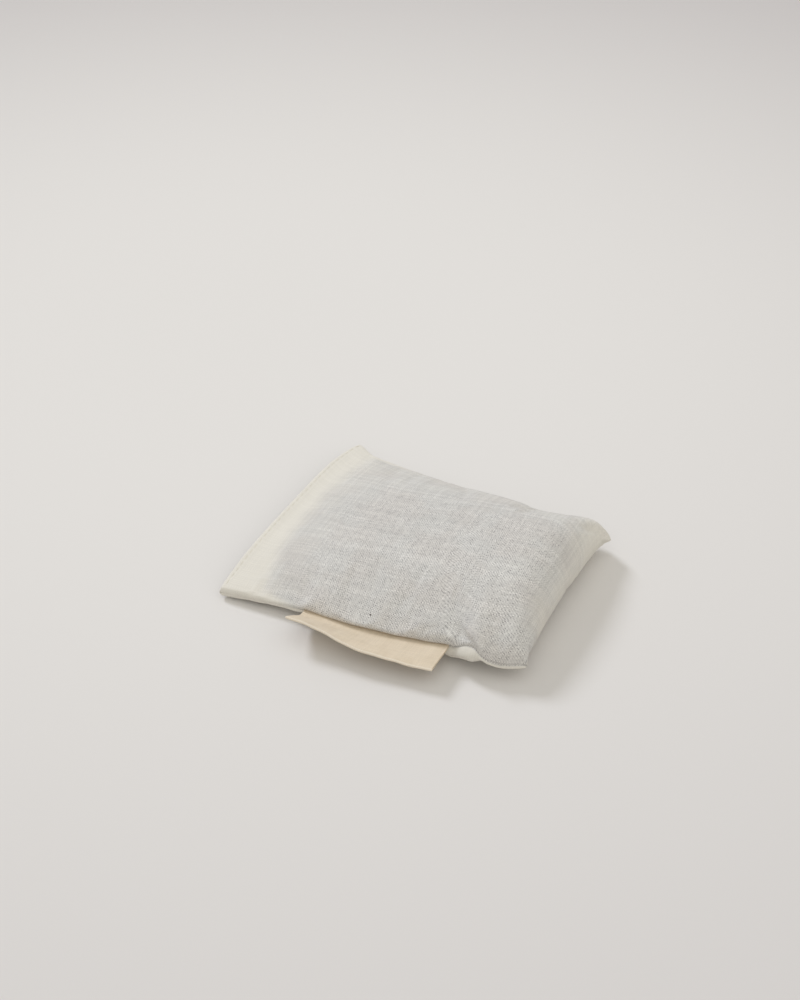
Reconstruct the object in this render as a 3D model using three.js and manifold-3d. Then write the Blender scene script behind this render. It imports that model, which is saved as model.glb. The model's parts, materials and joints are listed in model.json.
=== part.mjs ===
// Lavender sachet: a small pillow of thin muslin, filled with dried lavender buds.
// One strip of cloth is folded at the +X end and sewn up along both sides with its raw edges turned in.
// The mouth at the -X end is turned in as well and closed by a row of top-stitching, and a cotton tape,
// folded double, is caught in the -Y side seam as a label. Millimetres, +Z up, flat underside at Z = 0.
import * as THREE from "three";
import { mergeGeometries, mergeVertices } from "three/addons/utils/BufferGeometryUtils.js";
import Module from "manifold-3d";

// Pouch, filled and lying on its underside
const LENGTH = 112; // closed hem to folded end, along a side seam
const HEM_WIDTH = 100; // corner to corner along the closed hem
const FOLD_WIDTH = 74; // seam to seam at the folded end, without the swelling of the ears
const CROWN = 14.3; // fullest part of the top above the side seams
const BELLY = 14; // slack of the underside below the side seams, pressed flat by the floor
const CREST_FROM_FOLD = 16; // fullest part of the top to the folded end
const CROWN_FLATNESS = 2.3; // power across the pouch: more keeps the crown level for longer
const CROWN_SHOULDER = 0.6; // power beside the seams: less makes the shoulders steeper
const END_ROUND = 15; // length of the rounding at the folded end
const END_SHOULDER = 2.6; // power of that rounding: more makes the end squarer
const END_DRAW_IN = 3; // folded end drawn in between the ears
const FOLD_SEAM_HEIGHT = 7; // side seams above the floor at the ears
const HEM_LIFT = 3.9; // middle of the hem above its corners
const HEM_LIFT_FADE = 3; // power by which that lift dies out towards the folded end
const HEM_BOW = 2; // middle of the hem pushed out past its corners
const HEM_CORNER_LIFT = 0.6; // corners of the hem held up by its stiffness
const HEM_SQUARE = 4; // power along the hem: more keeps it raised for longer
const HEM_LEAN = 0.25; // share by which that lift and that bow are greater towards the back
const EAR_SWELL = 3.2; // far side seam pushed out at its ear
const EAR_REACH = 9.5; // half the length of that swelling
const EAR_FROM_FOLD = 8.5; // its widest point to the folded end
const EAR_DROOP = 2.5; // label's side seam sunk at its ear
const DROOP_FROM_FOLD = 20.5; // folded end to where that starts
const DROOP_FULL = 13.5; // folded end to where it is full
const DROOP_FADE = 7; // folded end to where it starts to fade
const DROOP_PAST = 2; // past the folded end, where it would end
const BACK_DRAW_IN = 4; // far side seam pulled in by the filling
const BACK_DRAW_FULL = 10; // hem to where that is full
const BACK_DRAW_FADE = 41; // hem to where it starts to fade
const BACK_DRAW_END = 96; // hem to where it ends
const WAIST_PINCH = 3; // label's side seam drawn in beside its ear
const WAIST_REACH = 8; // half the length of that pinch
const WAIST_FROM_FOLD = 18; // tightest point of the pinch to the folded end

// Cloth and its turned edges
const CLOTH = 0.3; // muslin
const PLY_GAP = 0.15; // between two plies of one turned edge
const MOUTH_GAP = 0.4; // between the upper and the lower turned edge
const SEAM_ALLOWANCE = 8; // cloth turned in along the side seams
const HEM_TURN = 10; // cloth turned in at the mouth
const CORNER_ALLOWANCE = 1.5; // side allowance left at the trimmed corners
const CORNER_EASE = 9; // length in which the side allowance then grows to its full width
const CORNER_CLIP = 2.6; // the turned-in mouth is clipped this far short of the side seams

// Label tape, folded double
const LABEL_LENGTH = 53; // along the seam
const LABEL_FROM_HEM = 32.5; // hem corner to the near end of the label
const LABEL_REACH = 11.5; // bend beside the seam to the folded edge of the tape
const LABEL_SKEW = 1.2; // folded edge of the tape set over towards the hem
const LABEL_TAIL = 6; // tape held inside the seam
const LABEL_HELD_OPEN = 10; // seam held apart beyond each end of the label
const LABEL_EASE = 8; // length in which the seam then closes again
const LABEL_OPEN_FADE = 6; // power by which it closes across the pouch
const TAPE = 0.35;
const TAPE_GAP = 0.1; // between the two plies of tape
const HEM_END_TILT = 23; // degrees that the label lifts at the end near the hem
const FOLD_END_TILT = 3; // degrees that it lifts at the other end
const LABEL_DROOP = 0.6; // folded edge hangs this far below a straight tape

// Sewing thread
const THREAD = 0.3;
const STITCH = 3.2; // pitch of the top-stitching
const HEM_STITCH_INSET = 2; // hem edge to the row of top-stitching
const HEM_STITCH_END = 4; // hem corner to the first stitch
const SIDE_STITCH_INSET = 1.8; // side seam edge to the hidden row of stitching
const SIDE_STITCH_FROM_HEM = 31; // hem to where the hidden rows end
const SIDE_STITCH_FROM_FOLD = 8; // folded end to where they begin

// Lavender
const FILL_FROM_HEM = 3.5; // middle of the hem to where the cloth starts to rise
const FILL_FROM_CORNER = 13; // hem corners to where it does
const FILL_SOFTNESS = 0.1; // share of the rise in which it starts gently
const FILL_RISE = 1.9; // power of the rise: more fills the bag sooner
const HEM_FLAT = 1.5; // hem held flat by its stitching
const HEM_EASE = 9; // hem to where the stitching no longer holds the cloth down
const FILL_BODY_FROM_HEM = 19; // hem edge to where the packed buds begin
const FILL_SHARE = 0.93; // share of the width that the packed buds reach
const FILL_CLEAR = 0.3; // buds to cloth

const SEAT_GAP = 0.3; // between two separate pieces that bear on each other

// Facets
const PANEL_STEPS = 14; // along each panel beyond its turned corners
const FOLD_STEPS = 8; // round the folded end
const ACROSS_STEPS = 14; // across each panel
const LABEL_STEPS = 8; // along the label
const REACH_STEPS = 3; // from the seam to the folded edge of the tape
const THREAD_SIDES = 5;
const LONGEST_MITRE = 2; // times the radius of a thread
const WELD = 1e-4; // vertices nearer than this are one

const { lerp, clamp, smoothstep, degToRad } = THREE.MathUtils;

const turnRadius = (CLOTH + PLY_GAP) / 2;
const turnArc = Math.PI * turnRadius;
const tapeStack = 2 * TAPE + TAPE_GAP;
const hemX = -LENGTH / 2;
const foldX = LENGTH / 2;
const labelStart = hemX + LABEL_FROM_HEM;
const labelEnd = labelStart + LABEL_LENGTH;
const underHem = SEAT_GAP + THREAD + SEAT_GAP; // room for the stitching under a hem corner
const hemPly = (MOUTH_GAP + CLOTH) / 2 + 2 * turnRadius;
const hemCornerHeight = hemPly + CLOTH / 2 + underHem + HEM_CORNER_LIFT;

// Outline and middle surface of the pouch: v runs from -1 at the label's side seam to 1 at the other one.

const along = (x) => clamp((x - hemX) / LENGTH, 0, 1);

const hump = (t) => (Math.abs(t) < 1 ? (1 + Math.cos(Math.PI * t)) / 2 : 0);

// Middle line of the pouch to its side seam, on the label's side where end is negative.
function halfWidth(x, end) {
  const swollen = EAR_SWELL * hump((foldX - EAR_FROM_FOLD - x) / EAR_REACH);
  const pinch = WAIST_PINCH * hump((foldX - WAIST_FROM_FOLD - x) / WAIST_REACH);
  const fromHem = x - hemX;
  const faded = smoothstep(fromHem, BACK_DRAW_FADE, BACK_DRAW_END);
  const drawnIn = BACK_DRAW_IN * smoothstep(fromHem, 0, BACK_DRAW_FULL) * (1 - faded);
  return lerp(HEM_WIDTH, FOLD_WIDTH, along(x)) / 2 + (end < 0 ? -pinch : swollen - drawnIn);
}

function seamHeight(x, v) {
  const sinks = smoothstep(x, foldX - DROOP_FROM_FOLD, foldX - DROOP_FULL);
  const rises = smoothstep(x, foldX - DROOP_FADE, foldX + DROOP_PAST);
  const sunk = EAR_DROOP * Math.min(v, 0) ** 2 * sinks * (1 - rises);
  return lerp(hemCornerHeight, FOLD_SEAM_HEIGHT, 1 - (1 - along(x)) ** 2) - sunk;
}

const hemBow = (v) => (1 - Math.abs(v) ** HEM_SQUARE) * (1 + HEM_LEAN * v);

const middleHeight = (x, v) => seamHeight(x, v) + HEM_LIFT * hemBow(v) * (1 - along(x)) ** HEM_LIFT_FADE;

const across = (v) => (1 - Math.abs(v) ** CROWN_FLATNESS) ** CROWN_SHOULDER;

// How full the pouch is, from 0 at the hem to 1 at the crest. The buds stay out of the hem's corners.
function fullness(x, v) {
  const start = lerp(FILL_FROM_HEM, FILL_FROM_CORNER, Math.abs(v) ** 3);
  const straight = (x - hemX - start) / (LENGTH - start - CREST_FROM_FOLD);
  const rise = clamp((straight + Math.hypot(straight, FILL_SOFTNESS)) / 2, 0, 1);
  return (1 - (1 - rise) ** FILL_RISE) * smoothstep(x - hemX, HEM_FLAT, HEM_EASE);
}

// Height of the turned-in ply above the middle surface. The label holds its own seam further apart.
function innerPly(x, v) {
  const before = smoothstep(x, labelStart - LABEL_HELD_OPEN - LABEL_EASE, labelStart - LABEL_HELD_OPEN);
  const after = smoothstep(x, labelEnd + LABEL_HELD_OPEN, labelEnd + LABEL_HELD_OPEN + LABEL_EASE);
  const held = before * (1 - after) * ((1 - v) / 2) ** LABEL_OPEN_FADE;
  return (lerp(MOUTH_GAP, tapeStack + 2 * SEAT_GAP, held) + CLOTH) / 2;
}

const outerPly = (x, v) => innerPly(x, v) + 2 * turnRadius;

// Distance of the outer cloth from the middle surface, on the upper (side 1) or lower (side -1) panel.
function swell(side, x, v) {
  const edge = outerPly(x, v);
  if (side > 0) return edge + CROWN * fullness(x, v) * across(v);
  return Math.min(edge + BELLY * fullness(x, v) * across(v), middleHeight(x, v) - CLOTH / 2);
}

const foldRound = (v) => lerp(outerPly(foldX, v), END_ROUND, across(v));

const hemEdge = (v) => hemX - HEM_BOW * hemBow(v);

const foldEdge = (v) => foldX - END_DRAW_IN * (1 - v * v);

// Pouch cloth, as a grid of points on its middle surface.
// A column lies on the panel at v, or past its edge: arc along the turn, then a share of the allowance.

function clothColumns() {
  const clipped = 1 - (2 * CORNER_CLIP) / HEM_WIDTH;
  const panel = [-1, -clipped];
  for (let i = 2; i <= ACROSS_STEPS - 2; i++) panel.push(Math.sin(Math.PI * (i / ACROSS_STEPS - 0.5)));
  panel.push(clipped, 1);
  const edge = (v) => [
    { v, arc: turnArc / 2, share: 0 },
    { v, arc: turnArc, share: 0 },
    { v, arc: turnArc, share: 1 },
  ];
  return [...edge(-1).reverse(), ...panel.map((v) => ({ v, arc: 0, share: 0 })), ...edge(1)];
}

// Where a column lies past the edge of its panel: out from the edge, and down towards the middle surface.
function pastEdge(column, fromHem) {
  const grown = smoothstep(fromHem, HEM_TURN + SEAT_GAP, HEM_TURN + SEAT_GAP + CORNER_EASE);
  const angle = column.arc / turnRadius;
  return {
    out: turnRadius * Math.sin(angle) - column.share * lerp(CORNER_ALLOWANCE, SEAM_ALLOWANCE, grown),
    down: turnRadius * (1 - Math.cos(angle)),
  };
}

// A row on a panel: share 0 is the hem edge and 1 the start of the fold. turn runs from 0 there to 180
// degrees on the other panel, round the folded end.
function panelPoint(side, share, turn, column) {
  const { v } = column;
  const edge = pastEdge(column, share * LENGTH);
  const inward = v * (1 + Math.min(edge.out, 0) / halfWidth(foldX, v));
  const start = lerp(hemEdge(v), foldEdge(inward) - foldRound(v), share);
  const x = start + foldRound(v) * Math.sin(turn);
  const level = Math.sqrt(Math.max(1 - Math.sin(turn) ** END_SHOULDER, 0));
  const height = (swell(side, x, v) - edge.down) * level * side;
  const tuck = Math.min(edge.down, foldRound(v)) * Math.sin(turn);
  const y = v * halfWidth(x, v) + Math.sign(v) * edge.out;
  return new THREE.Vector3(x - tuck, y, middleHeight(x, v) + height);
}

// A row of the turned-in mouth: turn runs from 0 on the hem edge to 180 degrees, then depth goes inwards.
// The clipped corners have no such cloth.
function mouthPoint(side, turn, depth, column) {
  const { v } = column;
  if (Math.abs(v) === 1) return null;
  const x = hemEdge(v) - turnRadius * Math.sin(turn) + depth;
  const height = outerPly(hemX, v) - turnRadius * (1 - Math.cos(turn));
  return new THREE.Vector3(x, v * halfWidth(x, v), middleHeight(x, v) + side * height);
}

function panelShares() {
  const run = LENGTH - outerPly(foldX, 1);
  const narrow = HEM_TURN + SEAT_GAP;
  const wide = narrow + CORNER_EASE;
  const places = [0, narrow / 2, narrow, (narrow + wide) / 2];
  for (let i = 0; i <= PANEL_STEPS; i++) places.push(lerp(wide, run, i / PANEL_STEPS));
  return places.map((place) => place / run);
}

function foldRows(columns) {
  const rows = [];
  for (let i = 1; i < FOLD_STEPS; i++) {
    const turn = (Math.PI * i) / FOLD_STEPS;
    const side = i <= FOLD_STEPS / 2 ? 1 : -1;
    rows.push(columns.map((c) => panelPoint(side, 1, side > 0 ? turn : Math.PI - turn, c)));
  }
  return rows;
}

function clothRows() {
  const columns = clothColumns();
  const panel = (side) => [
    columns.map((c) => mouthPoint(side, Math.PI, HEM_TURN, c)),
    columns.map((c) => mouthPoint(side, Math.PI, 0, c)),
    columns.map((c) => mouthPoint(side, Math.PI / 2, 0, c)),
    ...panelShares().map((share) => columns.map((c) => panelPoint(side, share, 0, c))),
  ];
  return [...panel(1), ...foldRows(columns), ...panel(-1).reverse()];
}

// Solids from grids of points

function geometryOf(points, triangles) {
  const geometry = new THREE.BufferGeometry().setFromPoints(points);
  geometry.setIndex(triangles);
  geometry.computeVertexNormals();
  return geometry;
}

// Unit normals of a grid, pointing along (next row) x (next column). A grid may lack some of its points.
function gridNormals(rows) {
  const at = (i, j) => rows[i]?.[j];
  return rows.map((row, i) =>
    row.map((p, j) => {
      if (!p) return null;
      const down = (at(i + 1, j) ?? p).clone().sub(at(i - 1, j) ?? p);
      const right = (at(i, j + 1) ?? p).clone().sub(at(i, j - 1) ?? p);
      return down.cross(right).normalize();
    }),
  );
}

const offsetGrid = (rows, normals, by) =>
  rows.map((row, i) => row.map((p, j) => p && p.clone().addScaledVector(normals[i][j], by)));

function quad(triangles, a, b, c, d) {
  triangles.push(a, b, c, a, c, d);
}

// A sheet of even thickness about a grid of points, closed round its outline.
function sheetSolid(rows, thickness) {
  const normals = gridNormals(rows);
  const upper = offsetGrid(rows, normals, thickness / 2);
  const lower = offsetGrid(rows, normals, -thickness / 2);
  const vertices = [];
  const ids = rows.map((row, i) =>
    row.map((p, j) => (p ? (vertices.push(upper[i][j], lower[i][j]) - 2) : -1)),
  );
  const triangles = [];
  const outline = new Map();
  const side = (a, b) => {
    if (!outline.delete(`${b} ${a}`)) outline.set(`${a} ${b}`, [a, b]);
  };
  for (let i = 0; i + 1 < rows.length; i++) {
    for (let j = 0; j + 1 < rows[i].length; j++) {
      const cell = [ids[i][j], ids[i + 1][j], ids[i + 1][j + 1], ids[i][j + 1]];
      if (cell.includes(-1)) continue;
      const [a, b, c, d] = cell;
      quad(triangles, a, b, c, d);
      quad(triangles, a + 1, d + 1, c + 1, b + 1);
      cell.forEach((id, k) => side(id, cell[(k + 1) % cell.length]));
    }
  }
  for (const [a, b] of outline.values()) quad(triangles, a, a + 1, b + 1, b);
  return geometryOf(vertices, triangles);
}

// A solid inside a grid that is folded over at its middle row: its two halves face each other.
function foldedSolid(rows) {
  const wide = rows[0].length;
  const last = rows.length - 1;
  const middle = last / 2;
  const end = wide - 1;
  const at = (i, j) => i * wide + j;
  const triangles = [];
  for (let i = 0; i < last; i++) {
    for (let j = 0; j < end; j++) quad(triangles, at(i, j), at(i + 1, j), at(i + 1, j + 1), at(i, j + 1));
  }
  for (let j = 0; j < end; j++) quad(triangles, at(0, j), at(0, j + 1), at(last, j + 1), at(last, j));
  for (let i = 0; i < middle - 1; i++) {
    quad(triangles, at(i, 0), at(last - i, 0), at(last - i - 1, 0), at(i + 1, 0));
    quad(triangles, at(i, end), at(i + 1, end), at(last - i - 1, end), at(last - i, end));
  }
  triangles.push(at(middle - 1, 0), at(middle + 1, 0), at(middle, 0));
  triangles.push(at(middle - 1, end), at(middle, end), at(middle + 1, end));
  return geometryOf(rows.flat(), triangles);
}

// A round tube through points, with mitred rings. Its bends lie in planes square to sideways.
function tubeAlong(points, diameter, sideways) {
  const rings = points.map((p, i) => {
    const into = p.clone().sub(points[Math.max(i - 1, 0)]).normalize();
    const outOf = points[Math.min(i + 1, points.length - 1)].clone().sub(p).normalize();
    const tangent = into.clone().add(outOf).normalize();
    const normal = tangent.clone().cross(sideways).normalize();
    const flat = tangent.clone().cross(normal);
    const leg = i ? into : outOf;
    const mitre = Math.min(1 / leg.dot(tangent), LONGEST_MITRE);
    return Array.from({ length: THREAD_SIDES }, (_, k) => {
      const angle = (2 * Math.PI * k) / THREAD_SIDES;
      return p
        .clone()
        .addScaledVector(normal, (mitre * diameter * Math.cos(angle)) / 2)
        .addScaledVector(flat, (diameter * Math.sin(angle)) / 2);
    });
  });
  const vertices = rings.flat();
  const triangles = [];
  const at = (i, k) => i * THREAD_SIDES + (k % THREAD_SIDES);
  for (let i = 0; i + 1 < rings.length; i++) {
    for (let k = 0; k < THREAD_SIDES; k++) {
      quad(triangles, at(i, k), at(i, k + 1), at(i + 1, k + 1), at(i + 1, k));
    }
  }
  for (let k = 1; k + 1 < THREAD_SIDES; k++) {
    triangles.push(at(0, 0), at(0, k + 1), at(0, k));
    const e = rings.length - 1;
    triangles.push(at(e, 0), at(e, k), at(e, k + 1));
  }
  return geometryOf(vertices, triangles);
}

// Joins and cuts

const wasm = await Module();
wasm.setup();

function solidFrom(geometry) {
  const bare = new THREE.BufferGeometry();
  bare.setAttribute("position", geometry.getAttribute("position"));
  bare.setIndex(geometry.getIndex());
  const merged = mergeVertices(bare, WELD);
  const mesh = new wasm.Mesh({
    numProp: 3,
    vertProperties: merged.getAttribute("position").array,
    triVerts: new Uint32Array(merged.getIndex().array),
  });
  return new wasm.Manifold(mesh);
}

function geometryFrom(solid) {
  const { vertProperties, triVerts } = solid.getMesh();
  const geometry = new THREE.BufferGeometry();
  geometry.setAttribute("position", new THREE.BufferAttribute(vertProperties, 3));
  geometry.setIndex(new THREE.BufferAttribute(triVerts, 1));
  geometry.computeVertexNormals();
  return geometry;
}

const cut = (from, tool) => geometryFrom(solidFrom(from).subtract(solidFrom(tool)));

// Top-stitching of the closed mouth

const holeLegs = THREAD + PLY_GAP; // between the two legs of thread in one needle slit
const slitWidth = THREAD + 2 * SEAT_GAP;
const slitLength = holeLegs + slitWidth;

function hemStitchPlaces() {
  const run = HEM_WIDTH - 2 * HEM_STITCH_END;
  const count = Math.floor(run / STITCH);
  const first = (-count * STITCH) / 2;
  return Array.from({ length: count + 1 }, (_, i) => first + i * STITCH);
}

// A point over (side 1) or under (side -1) the hem, at a height above the middle surface.
function hemPoint(side, y, height) {
  const v = y / halfWidth(hemX + HEM_STITCH_INSET, y);
  const x = hemEdge(v) + HEM_STITCH_INSET;
  return new THREE.Vector3(x, y, middleHeight(x, v) + side * height);
}

function needleSlits() {
  const deep = 2 * (hemPly + CLOTH + SEAT_GAP);
  const slits = hemStitchPlaces().map((y) => {
    const { x, z } = hemPoint(1, y, 0);
    return new THREE.BoxGeometry(slitWidth, slitLength, deep).translate(x, y, z);
  });
  return mergeGeometries(slits);
}

function hemThread(side) {
  const over = hemPly + CLOTH / 2 + SEAT_GAP + THREAD / 2;
  const locked = (THREAD + PLY_GAP) / 2;
  const places = hemStitchPlaces();
  const points = [];
  places.forEach((y, i) => {
    const near = y - holeLegs / 2;
    const far = y + holeLegs / 2;
    if (i > 0) points.push(hemPoint(side, near, over), hemPoint(side, near, locked));
    if (i + 1 < places.length) points.push(hemPoint(side, far, locked), hemPoint(side, far, over));
  });
  return tubeAlong(points, THREAD, new THREE.Vector3(1, 0, 0));
}

// Hidden stitching of a side seam, lying on the turned-in plies and bending with them: end -1 is the
// label's seam.
function sideThread(end, side) {
  const first = hemX + SIDE_STITCH_FROM_HEM;
  const last = foldX - SIDE_STITCH_FROM_FOLD;
  const rows = panelShares().map((share) => panelPoint(1, share, 0, { v: end, arc: 0, share: 0 }).x);
  const places = [first, ...rows.filter((x) => x > first && x < last), last];
  const points = places.map((x) => {
    const height = innerPly(x, end) + CLOTH / 2 + SEAT_GAP + THREAD / 2;
    const y = end * (halfWidth(x, end) - SIDE_STITCH_INSET);
    return new THREE.Vector3(x, y, seamHeight(x, end) + side * height);
  });
  return tubeAlong(points, THREAD, new THREE.Vector3(0, 1, 0));
}

// Label. It bends about a straight line just outside its seam, which clears the rolled cloth edges.

const labelPlaces = Array.from({ length: LABEL_STEPS + 1 }, (_, i) =>
  lerp(labelStart, labelEnd, i / LABEL_STEPS),
);

function hingeLine() {
  const fromChord = (x) => {
    const share = (x - labelStart) / LABEL_LENGTH;
    return halfWidth(x, -1) - lerp(halfWidth(labelStart, -1), halfWidth(labelEnd, -1), share);
  };
  const proud = Math.max(...labelPlaces.map(fromChord));
  const clear = turnRadius + CLOTH / 2 + SEAT_GAP + tapeStack / 2;
  const end = (x) => new THREE.Vector3(x, -halfWidth(x, -1) - proud - clear, seamHeight(x, -1));
  return new THREE.Line3(end(labelStart), end(labelEnd));
}

const hinge = hingeLine();

// Both plies of the tape outside the seam, with the fold at the outer edge.
function labelFlap() {
  const axis = hinge.delta(new THREE.Vector3()).normalize();
  const level = axis.clone().cross(new THREE.Vector3(0, 0, 1)).normalize();
  const up = level.clone().cross(axis);
  const ply = (TAPE + TAPE_GAP) / 2;
  const straight = LABEL_REACH - TAPE / 2 - ply;
  const section = [];
  const runs = Array.from({ length: REACH_STEPS + 1 }, (_, i) => (straight * i) / REACH_STEPS);
  runs.forEach((out) => section.push({ out, lift: ply }));
  section.push({ out: straight + ply, lift: 0 });
  runs.reverse().forEach((out) => section.push({ out, lift: -ply }));
  const rows = section.map(({ out, lift }) =>
    labelPlaces.map((_, i) => {
      const share = i / LABEL_STEPS;
      const tilt = degToRad(lerp(HEM_END_TILT, FOLD_END_TILT, share));
      const outward = level.clone().applyAxisAngle(axis, -tilt);
      const upward = up.clone().applyAxisAngle(axis, -tilt);
      const droop = LABEL_DROOP * (out / LABEL_REACH) ** 2;
      return hinge
        .at(share, new THREE.Vector3())
        .addScaledVector(axis, (-LABEL_SKEW * out) / LABEL_REACH)
        .addScaledVector(outward, out)
        .addScaledVector(upward, lift - droop);
    }),
  );
  return sheetSolid(rows, TAPE);
}

// Both ends of the tape inside the seam, pressed together by the stitching.
function labelTail() {
  const rows = [0, 1].map((inward) =>
    labelPlaces.map((x, i) => {
      const bend = hinge.at(i / LABEL_STEPS, new THREE.Vector3());
      const outer = bend.y + tapeStack / 2 + SEAT_GAP;
      const inner = -halfWidth(x, -1) + LABEL_TAIL;
      return new THREE.Vector3(x, lerp(outer, inner, inward), seamHeight(x, -1));
    }),
  );
  return sheetSolid(rows, tapeStack);
}

// Lavender buds, packed into one body that is grooved along both sides round the turned-in seams.

function fillBody() {
  const columns = clothColumns().filter((c) => Math.abs(c.v) < FILL_SHARE);
  const shares = panelShares().filter((share) => share * LENGTH > FILL_BODY_FROM_HEM);
  const rows = [
    ...shares.map((share) => columns.map((c) => panelPoint(1, share, 0, c))),
    ...foldRows(columns),
    ...shares.reverse().map((share) => columns.map((c) => panelPoint(-1, share, 0, c))),
  ];
  return foldedSolid(offsetGrid(rows, gridNormals(rows), -(CLOTH / 2 + FILL_CLEAR)));
}

function fillGroove(end) {
  const rawEdge = { v: end, arc: turnArc, share: 1 };
  const edge = panelShares().map((share) => panelPoint(1, share, 0, rawEdge));
  edge.at(-1).setY(end * (halfWidth(foldX, end) - SEAM_ALLOWANCE)); // clears the edge round the fold too
  edge.push(edge.at(-1).clone().setX(foldX));
  const rows = [0, 1].map((outward) => {
    const row = edge.map(({ x, y }) => {
      const inner = y - end * FILL_CLEAR;
      return new THREE.Vector3(x, lerp(inner, end * HEM_WIDTH, outward), seamHeight(x, end));
    });
    return end > 0 ? row.reverse() : row;
  });
  const widest = innerPly((labelStart + labelEnd) / 2, end) + CLOTH / 2;
  return sheetSolid(rows, 2 * (widest + SEAT_GAP + THREAD + FILL_CLEAR));
}

// Assembly

const muslin = new THREE.MeshStandardMaterial({ color: 0xe2dfd6, roughness: 0.95, metalness: 0 });
const cotton = new THREE.MeshStandardMaterial({ color: 0xe0cfae, roughness: 0.92, metalness: 0 });
const thread = new THREE.MeshStandardMaterial({ color: 0xefeadd, roughness: 0.8, metalness: 0 });
const lavender = new THREE.MeshStandardMaterial({ color: 0x7d7892, roughness: 1, metalness: 0 });

const sachet = new THREE.Group();
sachet.name = "lavender_sachet";

function addPiece(name, geometry, material) {
  const piece = new THREE.Mesh(geometry, material);
  piece.name = name;
  sachet.add(piece);
}

addPiece("pouch_cloth", cut(sheetSolid(clothRows(), CLOTH), needleSlits()), muslin);
addPiece("lavender_fill", cut(cut(fillBody(), fillGroove(-1)), fillGroove(1)), lavender);
addPiece("label_flap", labelFlap(), cotton);
addPiece("label_tail", labelTail(), cotton);
addPiece("closing_needle_thread", hemThread(1), thread);
addPiece("closing_bobbin_thread", hemThread(-1), thread);
addPiece("front_seam_needle_thread", sideThread(-1, 1), thread);
addPiece("front_seam_bobbin_thread", sideThread(-1, -1), thread);
addPiece("back_seam_needle_thread", sideThread(1, 1), thread);
addPiece("back_seam_bobbin_thread", sideThread(1, -1), thread);

export default sachet;
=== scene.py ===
# %% [markdown]
# # A lavender sachet
# A sachet is a small bag of thin muslin, filled with dried lavender and sewn shut. This lesson dresses
# the measured model of one: every piece made here sits where the measured solid sits, in metres, and the
# pieces of the pouch move with its body. The shapes are worked out in millimetres, because that is how a
# sewer thinks, and they are divided by a thousand only when a mesh is made.

# %% Load the measured frame
import json
from math import cos, pi, radians, sin, tau

import bmesh
import bpy
import numpy as np
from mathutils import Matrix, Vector, noise


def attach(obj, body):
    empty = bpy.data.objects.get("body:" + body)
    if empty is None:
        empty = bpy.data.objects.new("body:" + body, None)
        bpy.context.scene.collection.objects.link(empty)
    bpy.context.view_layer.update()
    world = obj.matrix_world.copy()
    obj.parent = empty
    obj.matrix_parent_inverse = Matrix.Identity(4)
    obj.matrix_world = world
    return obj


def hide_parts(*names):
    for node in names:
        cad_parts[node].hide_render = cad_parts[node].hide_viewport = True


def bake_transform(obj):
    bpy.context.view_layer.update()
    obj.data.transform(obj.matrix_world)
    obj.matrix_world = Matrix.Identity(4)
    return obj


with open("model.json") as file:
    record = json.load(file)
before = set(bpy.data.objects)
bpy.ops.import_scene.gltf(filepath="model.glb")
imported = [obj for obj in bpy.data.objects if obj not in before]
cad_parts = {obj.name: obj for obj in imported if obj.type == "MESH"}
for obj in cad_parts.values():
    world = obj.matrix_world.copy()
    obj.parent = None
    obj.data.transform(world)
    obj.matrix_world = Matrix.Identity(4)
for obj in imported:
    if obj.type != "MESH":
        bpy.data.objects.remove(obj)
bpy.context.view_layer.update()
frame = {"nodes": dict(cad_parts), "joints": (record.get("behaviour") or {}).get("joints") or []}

MM = 0.001
scene = bpy.context.scene
scene.view_settings.view_transform = "Standard"

# %% [markdown]
# ## Camera
# The photograph looks down on the sachet from the front, a little to the right of its label. The four
# corners of the bag were enough to work the camera back: its turn, its height, its distance and its lens.
# A camera is placed most safely by those four values, because each can be checked by itself.

# %% Camera
CAMERA_TURN = 28.3  # degrees round the sachet, 0 looks along +Y
CAMERA_HEIGHT = 37.4  # degrees above the table
CAMERA_DISTANCE = 550  # mm from the point it looks at
CAMERA_TARGET = (-27, 30, 0)  # mm
CAMERA_LENS = 51.66  # mm
CAMERA_SENSOR = 36  # mm along the long side of the picture


def add_object(name, data):
    thing = bpy.data.objects.new(name, data)
    scene.collection.objects.link(thing)
    return thing


def make_camera():
    data = bpy.data.cameras.new("camera")
    data.sensor_width = CAMERA_SENSOR
    data.lens = CAMERA_LENS
    data.clip_start = 10 * MM
    camera = add_object("camera", data)
    turn, height = radians(CAMERA_TURN), radians(CAMERA_HEIGHT)
    level = cos(height)
    back = Vector((sin(turn) * level, -cos(turn) * level, sin(height)))
    camera.location = (Vector(CAMERA_TARGET) + back * CAMERA_DISTANCE) * MM
    camera.rotation_euler = (-back).to_track_quat("-Z", "Y").to_euler()
    scene.camera = camera
    return camera


camera = make_camera()
print("camera at, mm:", [round(c / MM) for c in camera.location])

# %% [markdown]
# ## Small helpers for nodes
# A shader is a tree of nodes and links, and so is a geometry tree. A few helpers make them short to write:
# they set sockets, add a node, add a Math, Mix or Noise node, and start a node group with named sockets.
# A socket is given either a plain value or the output of another node, and that output knows its tree.

# %% Node helpers


def put(socket, value):
    """Sets a socket to a plain value, or links another node's output to it."""
    if isinstance(value, bpy.types.NodeSocket):
        socket.id_data.links.new(value, socket)
    elif value is not None:
        socket.default_value = value


def set_sockets(node, **sockets):
    for name, value in sockets.items():
        put(node.inputs[name.replace("_", " ")], value)


def add_node(tree, kind, settings=None, **sockets):
    node = tree.nodes.new(kind)
    for name, value in (settings or {}).items():
        setattr(node, name, value)
    set_sockets(node, **sockets)
    return node


def work(kind, settings, values, inputs=range(9), output=0):
    """Adds a node to the tree of the values, gives them to its inputs, and returns an output."""
    tree = next(value.id_data for value in values if isinstance(value, bpy.types.NodeSocket))
    node = add_node(tree, kind, settings)
    for index, value in zip(inputs, values):
        put(node.inputs[index], value)
    return node.outputs[output]


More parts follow.
